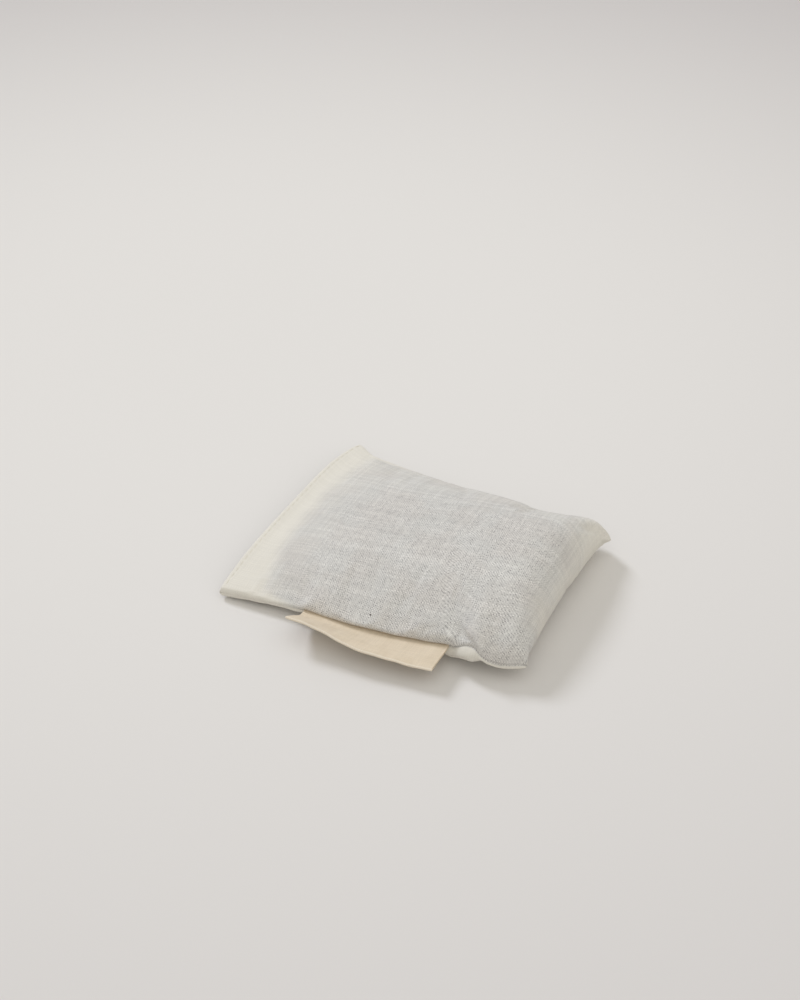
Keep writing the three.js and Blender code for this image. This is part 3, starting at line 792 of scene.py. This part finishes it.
def cut_places(rows):
    """Place of each grid point on the flat cloth: from the hem, and from the label's seam."""
    middle = len(rows) // 2
    down = lengths_along(rows, 0)
    under = 2 - (down[-1] - down) / (down[-1] - down[middle])
    down = np.where(np.arange(len(rows))[:, None] <= middle, down / down[middle], under)
    over = lengths_along(rows, 1)
    return np.stack([down * CUT_LENGTH, over / over[:, -1:] * CUT_WIDTH], axis=2)


def lavender_share(rows):
    """How much filling lies behind each grid point, 0 to 1; lowered on the folded end's flank as painted
    light.
    """
    x, y, z = rows[..., 0], rows[..., 1], rows[..., 2]
    v = y / half_width(x, y)
    start = FILL_SHOWS + FILL_SHOWS_FRONT * np.maximum(-v, 0) ** 2 + FILL_SHOWS_BACK * np.maximum(v, 0) ** 2
    from_hem = FILL_AT_HEM * smooth(x - hem_edge(v), start - 4, start + 11)
    gathered = (1 - FILL_AT_HEM) * smooth(x - hem_x, *FILL_GATHERS)
    from_hem += gathered * (1 - THINNER_BACK * smooth(y, 2, 32))
    # painted light: the flank of the folded end is made paler, away from the front ear
    from_hem *= 1 - FLANK_PAINTED_LIGHT * smooth(x - 0.5 * z, 32, 49) * smooth(y, -34, -22)
    lower = np.arange(len(rows))[:, None] > len(rows) // 2
    from_seam = half_width(x, y) - np.abs(y) + (LABEL_BOW + LABEL_COVER) * label_bow(x) * (y < 0)
    doubled = 1 - smooth(np.minimum(from_seam, 20), 4, 9)
    shows_at = lerp(0, -4.5, smooth(x, -45, -18))
    return from_hem * np.where(lower, 1 - doubled, smooth(from_seam, shows_at, shows_at + 5))


def grid_cells(number):
    corners = (number[:-1, :-1], number[1:, :-1], number[1:, 1:], number[:-1, 1:])
    return np.stack(corners, axis=-1).reshape(-1, 4)


def mesh_from_grid(name, rows, number, places, filled):
    used, index = np.unique(number, return_inverse=True)
    faces = grid_cells(index.reshape(number.shape))
    corners = grid_cells(np.arange(number.size).reshape(number.shape))
    mesh = bpy.data.meshes.new(name)
    mesh.from_pydata((rows.reshape(-1, 3)[used] * MM).tolist(), [], faces.tolist())
    cut = mesh.uv_layers.new(name="cut")
    cut.data.foreach_set("uv", places.reshape(-1, 2)[corners.ravel()].ravel())
    behind = mesh.attributes.new("lavender", "FLOAT", "POINT")
    behind.data.foreach_set("value", filled.ravel()[used].astype(np.float32))
    mesh.shade_smooth()
    mesh.update()
    return mesh


def add_piece(name, mesh, material):
    piece = add_object(name, mesh)
    piece.data.materials.append(material)
    return piece


numbers = shared_numbers(*rows.shape[:2])
pouch_mesh = mesh_from_grid("pouch", rows, numbers, cut_places(rows), lavender_share(rows))
pouch = add_piece("pouch", pouch_mesh, muslin)
print("pouch:", len(pouch_mesh.vertices), "points,", len(pouch_mesh.polygons), "faces")

# %% [markdown]
# ## Let the cloth settle
# A shape that is worked out by rule is too tidy: real muslin is a little longer than its seams, so it
# puckers beside them and swells where the filling pushes. Blender's cloth solver adds that. The mesh is
# copied at ten times its size, because the solver is tuned for things as large as clothing, the seams, the
# hem and the flat underside are pinned, and the cloth is let grow by about one in a hundred under a light
# pressure. The result is capped, so that the bag keeps its measured size, and is applied as plain mesh.

# %% Settle the cloth
SETTLE_SCALE = 10
SETTLE_FRAMES = 18
SETTLE_CAP = 1.4  # mm
SOLVER = {
    "quality": 6,
    "mass": 0.2,
    "tension_stiffness": 20,
    "compression_stiffness": 20,
    "shear_stiffness": 8,
    "bending_stiffness": 0.6,
    "vertex_group_mass": "held",
    "use_pressure": True,
    "uniform_pressure_force": 1.5,
    "shrink_min": -0.009,  # less than 0 lets it grow
}


def get_points(mesh):
    points = np.empty(3 * len(mesh.vertices))
    mesh.vertices.foreach_get("co", points)
    return points.reshape(-1, 3)


def set_points(mesh, points):
    mesh.vertices.foreach_set("co", points.ravel())
    mesh.update()


def held_share(points):
    """1 where the cloth is sewn or lies on the table, 0 where it is free."""
    x, y, z = (points / MM).T
    at_hem = 1 - smooth(x - hem_x, 6, 13)
    at_seam = 1 - smooth(half_width(x, y) - np.abs(y), 0.2, 0.9)
    between = np.abs(z - seam_height(x, np.sign(y))) < 1.6
    on_table = 1 - smooth(z, 0.05, 0.5)
    return np.maximum.reduce([at_hem, at_seam * between, on_table])


def settle(piece):
    start = get_points(piece.data)
    copy = add_object("settling", piece.data.copy())
    set_points(copy.data, start * SETTLE_SCALE)
    held = copy.vertex_groups.new(name="held")
    for index, share in enumerate(held_share(start)):
        held.add([index], float(share), "REPLACE")
    modifier = copy.modifiers.new("cloth", "CLOTH")
    for name, value in SOLVER.items():
        setattr(modifier.settings, name, value)
    modifier.settings.effector_weights.gravity = 0
    modifier.collision_settings.use_collision = False
    modifier.point_cache.frame_end = SETTLE_FRAMES
    for number in range(1, SETTLE_FRAMES + 1):
        scene.frame_set(number)
    graph = bpy.context.evaluated_depsgraph_get()
    move = get_points(copy.evaluated_get(graph).data) / SETTLE_SCALE - start
    length = np.linalg.norm(move, axis=1, keepdims=True)
    move *= np.minimum(1, SETTLE_CAP * MM / np.maximum(length, 1e-9))
    settled = start + move
    settled[:, 2] = np.maximum(settled[:, 2], 0)
    set_points(piece.data, settled)
    bpy.data.objects.remove(copy)
    scene.frame_set(1)
    return float(length.max() / MM), float(length.mean() / MM)


print("settled, most and mean move in mm:", settle(pouch))

# %% Finish the pouch
LUMP = 0.07  # mm, buds pushing at the cloth
LUMP_PITCH = 4.2
SWAY = 0.4  # mm, slow unevenness of the filling
SWAY_PITCH = 24


def make_plain(piece):
    """Turns the modifiers of a piece into plain mesh."""
    graph = bpy.context.evaluated_depsgraph_get()
    mesh = bpy.data.meshes.new_from_object(piece.evaluated_get(graph))
    piece.modifiers.clear()
    piece.data = mesh
    return piece


def smoothed(piece):
    modifier = piece.modifiers.new("smooth", "SUBSURF")
    modifier.levels = 1
    return make_plain(piece)


def unevenness(point):
    lump = LUMP * noise.noise(Vector(point / (LUMP_PITCH * MM)))
    return lump + SWAY * noise.noise(Vector(point / (SWAY_PITCH * MM)))


def press_buds(mesh):
    """Moves the filled cloth in and out a little, as the buds behind it do."""
    filled = np.empty(len(mesh.vertices), np.float32)
    mesh.attributes["lavender"].data.foreach_get("value", filled)
    normals = np.empty(3 * len(mesh.vertices), np.float32)
    mesh.vertex_normals.foreach_get("vector", normals)
    points = get_points(mesh)
    shift = np.array([unevenness(point) for point in points])
    free = filled * smooth(points[:, 2] / MM, 0.3, 3)
    points += normals.reshape(-1, 3) * (shift * free * MM)[:, None]
    set_points(mesh, points)


smoothed(pouch)
press_buds(pouch.data)
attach(pouch, "pouch")
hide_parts("pouch_cloth")
print("pouch after smoothing:", len(pouch.data.vertices), "points")

# %% [markdown]
# ## The folded label
# The label is one short length of tape, folded double, with both ends caught in the seam. It leaves the
# seam along a straight bend line, rises more at the end near the hem, and droops a little towards its
# fold. Its middle surface is a grid: along the seam, and along the tape from one hidden end, out to the
# fold and back to the other. Solidify gives that sheet its thickness.

# %% Label
LABEL_LENGTH = 53  # mm along the seam
LABEL_REACH = 11.5  # bend line to fold
LABEL_TAIL = 4.5  # inside the seam
LABEL_SKEW = 1.2
TAPE = 0.36
PLY = 0.26  # middle of each ply from the middle of the label
HEM_END_RISE = 38  # degrees
FOLD_END_RISE = 3
RISE_WITHIN = 3.2  # mm of tape in which it bends up
DROOP = 4  # degrees lost by the fold
WAVE = 0.25  # mm
EDGE_WAVES = ((0.22, 14.5, 1.0), (0.1, 39, 0.0))  # mm, radians along the label, start
bend = frame["joints"][0]
bend_middle = np.array(bend["pos_m"]) / MM
bend_axis = -np.array(bend["axis"]) / np.linalg.norm(bend["axis"])
bend_out = np.cross(bend_axis, (0, 0, 1))
bend_out /= np.linalg.norm(bend_out)
bend_up = np.cross(bend_out, bend_axis)


def tape_path():
    """Distance from the bend and height in plies, along the tape from end to end."""
    run = np.concatenate([np.linspace(-LABEL_TAIL, 0, 6)[:-1], np.linspace(0, LABEL_REACH - PLY, 20)])
    turn = np.linspace(90, -90, 7)[1:-1]
    upper = [(out, 1.0) for out in run]
    fold = [(run[-1] + PLY * cos(radians(t)), sin(radians(t))) for t in turn]
    return np.array([*upper, *fold, *[(out, -1.0) for out in run[::-1]]])


def label_column(share, path):
    """The tape at one place along the seam, share 0 at the hem's end and 1 at the other."""
    out, ply = path.T
    rise = lerp(HEM_END_RISE, FOLD_END_RISE, smooth(share, 0, 1))
    steps = np.linspace(0, LABEL_REACH, 60)
    angle = np.radians(rise * smooth(steps, 0, RISE_WITHIN) - DROOP * (steps / LABEL_REACH) ** 2)
    step = steps[1] - steps[0]
    far, high = (np.insert(np.cumsum(part(angle[:-1]) * step), 0, 0) for part in (np.cos, np.sin))
    reach = np.clip(out, 0, LABEL_REACH)
    level = np.interp(reach, steps, far) + np.minimum(out, 0)
    lean = np.interp(reach, steps, angle)
    wave = WAVE * np.sin(2 * pi * (1.4 * share + 0.15)) * (reach / LABEL_REACH) ** 2
    lift = np.interp(reach, steps, high) + wave + PLY * ply * np.cos(lean)
    level = level - PLY * ply * np.sin(lean)
    place = bend_middle + bend_axis * (LABEL_LENGTH * (share - 0.5))
    bow = label_bow(place[0])
    edge = sum(size * sin(turn * share + start) for size, turn, start in EDGE_WAVES)
    level = level + LABEL_BOW * bow + edge * smooth(reach, 0.5 * LABEL_REACH, LABEL_REACH)
    skew = np.outer(-LABEL_SKEW * reach / LABEL_REACH, bend_axis)
    return place + skew + np.outer(level, bend_out) + np.outer(lift - LABEL_SAG * bow, bend_up)


def make_label():
    path = tape_path()
    shares = np.concatenate([[0, 0.004, 0.012], np.linspace(0.03, 0.97, 36), [0.988, 0.996, 1]])
    grid = np.array([label_column(share, path) for share in shares])
    down = lengths_along(grid[0], 0)
    places = np.stack(np.meshgrid(shares * LABEL_LENGTH, down, indexing="ij"), axis=2)
    number = np.arange(grid.shape[0] * grid.shape[1]).reshape(grid.shape[:2])
    mesh = mesh_from_grid("label", grid, number, places, np.zeros(grid.shape[:2]))
    piece = add_piece("label", mesh, tape)
    thicken = piece.modifiers.new("tape", "SOLIDIFY")
    thicken.thickness = TAPE * MM
    thicken.offset = 0
    make_plain(piece)
    return smoothed(piece), down[-1]


label, tape_length = make_label()
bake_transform(label)
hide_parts("label_flap", "label_tail")
print("label tape, mm:", LABEL_LENGTH, "by", round(float(tape_length), 1))

# %% [markdown]
# ## Rows of stitches
# A machine seam is one small arch of thread after another, so Geometry Nodes make it: a path is cut into
# steps of one stitch, and an arch of thread is placed on each step, turned along the path with its back
# away from the cloth. The same tree sews the hem from above and from below, and both side seams, where
# the stitches lie hidden on the turned-in cloth.

# %% Stitch tree
STITCH_SHARE = 0.44  # half an arch, as a share of a stitch
STITCH_SINK = 0.9  # ends of an arch below the cloth, in threads


def geometry_group(name, sockets):
    """Starts a geometry tree that takes a mesh, the named sockets and a material."""
    shape = {"Geometry": "Geometry"}
    return new_group(name, "Geometry", {**shape, **sockets, "Material": "Material"}, shape)


def finish_tree(tree, out, instances, material):
    """Turns instances into real mesh of one material and hands it out."""
    real = add_node(tree, "GeometryNodeRealizeInstances", Geometry=instances)
    painted = add_node(tree, "GeometryNodeSetMaterial", Geometry=real.outputs[0], Material=material)
    tree.links.new(painted.outputs[0], out["Geometry"])
    return tree


def stitch_tree():
    sockets = {"Stitch": "Float", "Thread": "Float", "Rise": "Float", "Away": "Vector"}
    tree, given, out = geometry_group("stitch row", sockets)
    half = times(given["Stitch"], STITCH_SHARE)
    back = times(half, -1.0)
    sunk = times(given["Thread"], -STITCH_SINK)
    spots = {"Start": (back, sunk), "Start Handle": (back, given["Rise"])}
    spots.update({"End Handle": (half, given["Rise"]), "End": (half, sunk)})
    arch = add_node(tree, "GeometryNodeCurvePrimitiveBezierSegment", Resolution=7)
    for name, (x, z) in spots.items():
        put(arch.inputs[name], add_node(tree, "ShaderNodeCombineXYZ", X=x, Z=z).outputs[0])
    radius = times(given["Thread"], 0.5)
    ring = add_node(tree, "GeometryNodeCurvePrimitiveCircle", Resolution=6, Radius=radius)
    tube = add_node(tree, "GeometryNodeCurveToMesh", Curve=arch.outputs[0], Fill_Caps=True)
    tree.links.new(ring.outputs[0], tube.inputs["Profile Curve"])
    path = add_node(tree, "GeometryNodeMeshToCurve", Mesh=given["Geometry"]).outputs[0]
    by_length = {"mode": "LENGTH"}
    steps = add_node(tree, "GeometryNodeResampleCurve", by_length, Curve=path, Length=given["Stitch"])
    tangent = tree.nodes.new("GeometryNodeInputTangent").outputs[0]
    turned = add_node(tree, "FunctionNodeAlignRotationToVector", {"axis": "X"}, Vector=tangent)
    stood = add_node(tree, "FunctionNodeAlignRotationToVector", {"axis": "Z", "pivot_axis": "X"})
    set_sockets(stood, Rotation=turned.outputs[0], Vector=given["Away"])
    placed = add_node(tree, "GeometryNodeInstanceOnPoints", Points=steps.outputs[0])
    set_sockets(placed, Instance=tube.outputs[0], Rotation=stood.outputs[0])
    return finish_tree(tree, out, placed.outputs[0], given["Material"])


def grow(piece, tree, values):
    """Runs a geometry tree on a piece with the named inputs, and keeps the result as plain mesh."""
    modifier = piece.modifiers.new(tree.name, "NODES")
    modifier.node_group = tree
    for item in tree.interface.items_tree:
        if item.in_out == "INPUT" and item.name in values:
            modifier[item.identifier] = values[item.name]
    make_plain(piece)
    piece.data.shade_smooth()
    return piece


stitch_row = stitch_tree()
print("stitch tree:", len(stitch_row.nodes), "nodes")

# %% Sew the hem and the side seams
STITCH = 3.2
THREAD = 0.24
STITCH_RISE = 0.02
STITCH_CLEAR = 0.04  # mm, path of the hem's stitches above the cloth
HEM_STITCHED = 0.92  # share of the hem
SEAM_INSET = 1.8
SEAM_FROM_HEM = 14
SEAM_FROM_FOLD = 8


def hem_path(side):
    v = np.linspace(-HEM_STITCHED, HEM_STITCHED, 60)
    x = hem_edge(v) + STITCH_INSET
    height = middle_height(x, v) + side * (plies(side, x, v) + STITCH_CLEAR)
    return np.stack([x, v * half_width(x, v), height], axis=1)


def seam_path(end):
    x = np.linspace(hem_x + SEAM_FROM_HEM, fold_x - SEAM_FROM_FOLD, 80)
    path = np.stack([x, end * half_width(x, end), seam_height(x, end)], axis=1)
    path = pinch(path, -1)
    path[:, 1] -= end * SEAM_INSET
    return path


def sew(name, path, away, nodes):
    mesh = bpy.data.meshes.new(name)
    mesh.from_pydata((path * MM).tolist(), [(i, i + 1) for i in range(len(path) - 1)], [])
    piece = add_object(name, mesh)
    sizes = {"Stitch": STITCH * MM, "Thread": THREAD * MM, "Rise": STITCH_RISE * MM}
    grow(piece, stitch_row, {**sizes, "Away": away, "Material": thread})
    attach(piece, "pouch")
    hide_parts(*nodes)
    print(name, len(piece.data.polygons), "faces")


sew("hem_stitches_above", hem_path(1), (0, 0, 1), ["closing_needle_thread"])
sew("hem_stitches_below", hem_path(-1), (0, 0, -1), ["closing_bobbin_thread"])
for end, side_name in ((-1, "front"), (1, "back")):
    threads = [f"{side_name}_seam_needle_thread", f"{side_name}_seam_bobbin_thread"]
    sew(f"{side_name}_seam_stitches", seam_path(end), (0, 0, 1), threads)

# %% [markdown]
# ## Lavender buds
# Inside lie dried buds: small ribbed cups, each about five millimetres long. One bud is modelled with few
# faces, and a geometry tree strews it through the space of the measured filling, drawn in far enough that
# no bud pokes through the muslin. The seed is fixed, so the same buds come out each time.

# %% Buds
BUD_LENGTH = 5.0
BUD_WIDTH = 2.1
BUD_SIDES = 8
BUD_RIB = 0.82  # width between the ribs, as a share of that at the ribs
BUD_PROFILE = ((0.0, 0.28), (0.14, 0.62), (0.45, 1.0), (0.8, 0.86), (1.0, 0.55))  # shares of length, width
BUD_SIZES = (0.75, 1.05)
BUD_SEED = 4
BUD_INSET = 3.2  # mm from the measured filling to the middle of the outermost buds
BUDS_PER_CUBIC_CM = 9


def make_bud():
    points = []
    for height, radius in BUD_PROFILE:
        for k in range(BUD_SIDES):
            angle = 2 * pi * k / BUD_SIDES
            rib = radius * (1.0 if k % 2 else BUD_RIB) * BUD_WIDTH / 2
            points.append((rib * cos(angle), rib * sin(angle), (height - 0.5) * BUD_LENGTH))
    last = (len(BUD_PROFILE) - 1) * BUD_SIDES
    faces = []
    for ring in range(0, last, BUD_SIDES):
        for k in range(BUD_SIDES):
            a, b = ring + k, ring + (k + 1) % BUD_SIDES
            faces.append((a, b, b + BUD_SIDES, a + BUD_SIDES))
    faces.append(tuple(range(BUD_SIDES - 1, -1, -1)))
    faces.append(tuple(range(last, last + BUD_SIDES)))
    mesh = bpy.data.meshes.new("bud")
    mesh.from_pydata((np.array(points) * MM).tolist(), [], faces)
    return bpy.data.objects.new("bud", mesh)


def bud_tree():
    sockets = {"Bud": "Object", "Inset": "Float", "Density": "Float", "Seed": "Int"}
    tree, given, out = geometry_group("strewn buds", sockets)
    seed = given["Seed"]
    normal = tree.nodes.new("GeometryNodeInputNormal").outputs[0]
    inward = vector_calc("SCALE", normal, None, None, times(given["Inset"], -1.0))
    drawn = add_node(tree, "GeometryNodeSetPosition", Geometry=given["Geometry"], Offset=inward)
    space = add_node(tree, "GeometryNodeMeshToVolume", {"resolution_mode": "VOXEL_SIZE"})
    set_sockets(space, Mesh=drawn.outputs[0], Voxel_Size=1.0 * MM, Interior_Band_Width=12 * MM)
    places = add_node(tree, "GeometryNodeDistributePointsInVolume", Volume=space.outputs[0])
    set_sockets(places, Density=given["Density"], Seed=seed)
    turn = add_node(tree, "FunctionNodeRandomValue", {"data_type": "FLOAT_VECTOR"}, Seed=seed)
    turn.inputs[1].default_value = (tau, tau, tau)
    spin = add_node(tree, "FunctionNodeEulerToRotation", Euler=turn.outputs[0])
    size = add_node(tree, "FunctionNodeRandomValue", {"data_type": "FLOAT"}, Seed=seed)
    size.inputs[2].default_value, size.inputs[3].default_value = BUD_SIZES
    bud = add_node(tree, "GeometryNodeObjectInfo", Object=given["Bud"]).outputs["Geometry"]
    placed = add_node(tree, "GeometryNodeInstanceOnPoints", Points=places.outputs[0], Instance=bud)
    set_sockets(placed, Rotation=spin.outputs[0], Scale=size.outputs[1])
    return finish_tree(tree, out, placed.outputs[0], given["Material"])


def make_buds():
    mesh = frame["nodes"]["lavender_fill"].data.copy()
    mesh.materials.clear()
    shape = bmesh.new()
    shape.from_mesh(mesh)
    bmesh.ops.remove_doubles(shape, verts=shape.verts, dist=0.01 * MM)
    shape.to_mesh(mesh)
    shape.free()
    piece = add_object("lavender_buds", mesh)
    bud = make_bud()
    values = {"Bud": bud, "Inset": BUD_INSET * MM, "Density": BUDS_PER_CUBIC_CM * 1e6, "Seed": BUD_SEED}
    grow(piece, bud_tree(), {**values, "Material": lavender})
    bpy.data.objects.remove(bud)
    return piece


buds = make_buds()
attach(buds, "pouch")
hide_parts("lavender_fill")
print("buds:", len(buds.data.polygons) // (BUD_SIDES * 4 + 2))

# %% [markdown]
# ## Table and light
# The sachet lies on a plain pale table, whose colour darkens away from one spot near it as a painted
# falloff of light. One soft lamp stands far behind it on the left, high enough to throw a short shadow
# forward and to the right, a very wide one over the front right lightens the shadow, and an even sky fills
# the rest. Together they light a level surface at a strength of about one, so every colour renders about as
# it is written.

# %% Table and light
TABLE_NEAR = (0.748, 0.726, 0.698, 1)
# painted falloff of light: the table darkens to this away from the sachet
TABLE_PAINTED_DIM = (0.520, 0.492, 0.484, 1)
TABLE_PAINTED_POOL = (-0.15, 0.11, 0)  # m, middle of the painted pool of light, where the table is palest
TABLE_PAINTED_FADE = (0.08, 0.75)  # m from there, where the painted falloff of light starts to darken it and is darkest
TABLE_REACH = 4  # m
SKY_SHARE = 0.50  # of the light on a level surface
SKY_COLOUR = (1.02, 1.003, 0.955, 1)
LAMPS = (  # name, share, colour, turn from +X towards +Y, height and width in degrees
    ("key", 0.27, (0.95, 0.99, 1.10), 160, 39, 15),
    ("overhead", 0.24, (1.01, 1.0, 0.965), -32, 58, 100),
)


def table_sockets(tree):
    apart = vector_calc("DISTANCE", object_place(tree), TABLE_PAINTED_POOL)
    colour = mix(ramp(apart, *TABLE_PAINTED_FADE), TABLE_NEAR, TABLE_PAINTED_DIM)
    return {"Base Color": colour, "Roughness": 0.8, "Specular IOR Level": 0.1}


def make_table():
    mesh = bpy.data.meshes.new("table")
    corners = [(x * TABLE_REACH, y * TABLE_REACH, 0) for x, y in ((-1, -1), (1, -1), (1, 1), (-1, 1))]
    mesh.from_pydata(corners, [], [(0, 1, 2, 3)])
    table = add_piece("table", mesh, make_material("pale_table", table_sockets))
    return table


def make_lamp(name, share, colour, turn, height, width):
    data = bpy.data.lights.new(name, "SUN")
    data.angle = radians(width)
    turn, height = radians(turn), radians(height)
    level = cos(height)
    towards = Vector((cos(turn) * level, sin(turn) * level, sin(height)))
    data.energy = share * pi / sin(height)
    data.color = colour
    lamp = add_object(name, data)
    lamp.location = towards
    lamp.rotation_euler = towards.to_track_quat("Z", "Y").to_euler()
    return lamp


def make_sky():
    world = bpy.data.worlds.new("sky")
    world.use_nodes = True
    scene.world = world
    sky = world.node_tree.nodes["Background"]
    sky.inputs["Color"].default_value = SKY_COLOUR
    sky.inputs["Strength"].default_value = SKY_SHARE


table = make_table()
make_sky()
lamps = [make_lamp(*lamp) for lamp in LAMPS]
print("lamps:", [(lamp.name, round(lamp.data.energy, 2)) for lamp in lamps])
